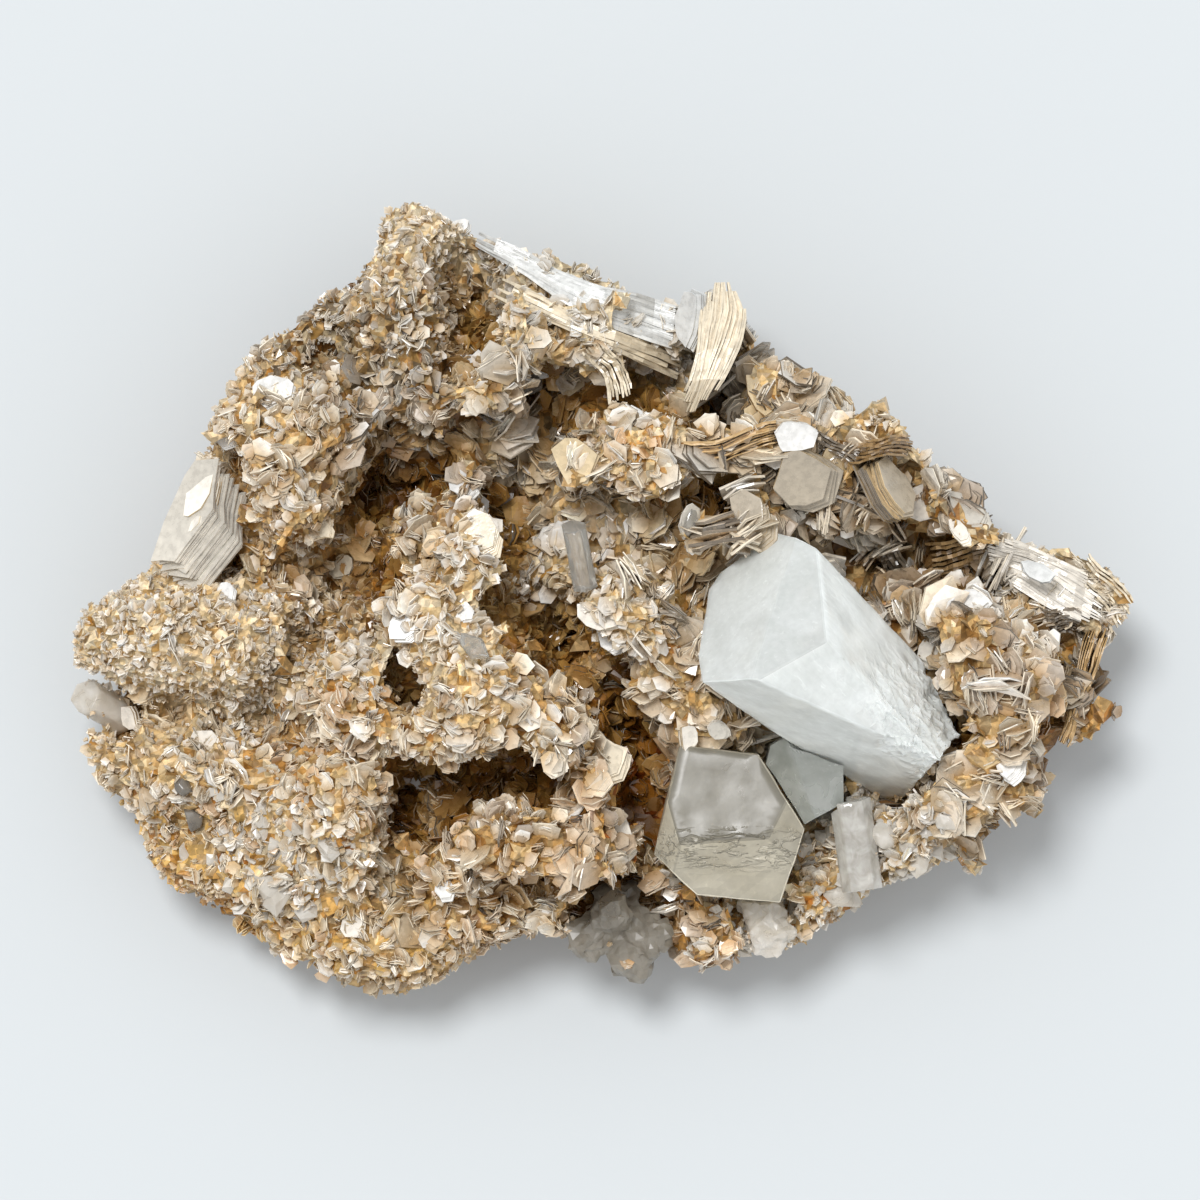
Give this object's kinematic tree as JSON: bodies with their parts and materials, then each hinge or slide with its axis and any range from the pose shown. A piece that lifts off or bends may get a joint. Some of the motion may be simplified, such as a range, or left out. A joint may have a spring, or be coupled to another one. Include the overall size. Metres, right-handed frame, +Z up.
{
  "type": "aquamarine on albite specimen",
  "caption": "Natural mineral specimen: stubby aquamarine crystals bedded in a rugged albite matrix crusted with tan muscovite mica plates and books, flat underneath.",
  "frame": {"origin": "middle of the base of the specimen's box", "axes": "+X along the specimen's length, towards the pointed end; +Z up, the shortest way"},
  "size_m": [0.1392, 0.1058, 0.0543],
  "materials": {
    "mica": "rough",
    "mica_book": "satin",
    "aquamarine": "satin",
    "quartz": "satin"
  },
  "bodies": {
    "root": {"mica_albite_matrix": "mica", "main_aquamarine": "aquamarine", "lower_aquamarine": "aquamarine", "shaded_aquamarine": "aquamarine", "lower_clear_prism": "aquamarine", "middle_clear_prism": "aquamarine", "edge_crystal": "quartz", "quartz_point": "quartz", "quartz_cluster": "quartz", "left_mica_book": "mica_book", "white_mica_book": "mica_book", "dark_edged_mica_book": "mica_book", "end_mica_book": "mica_book", "crest_mica_book": "mica_book"}
  },
  "joints": []
}
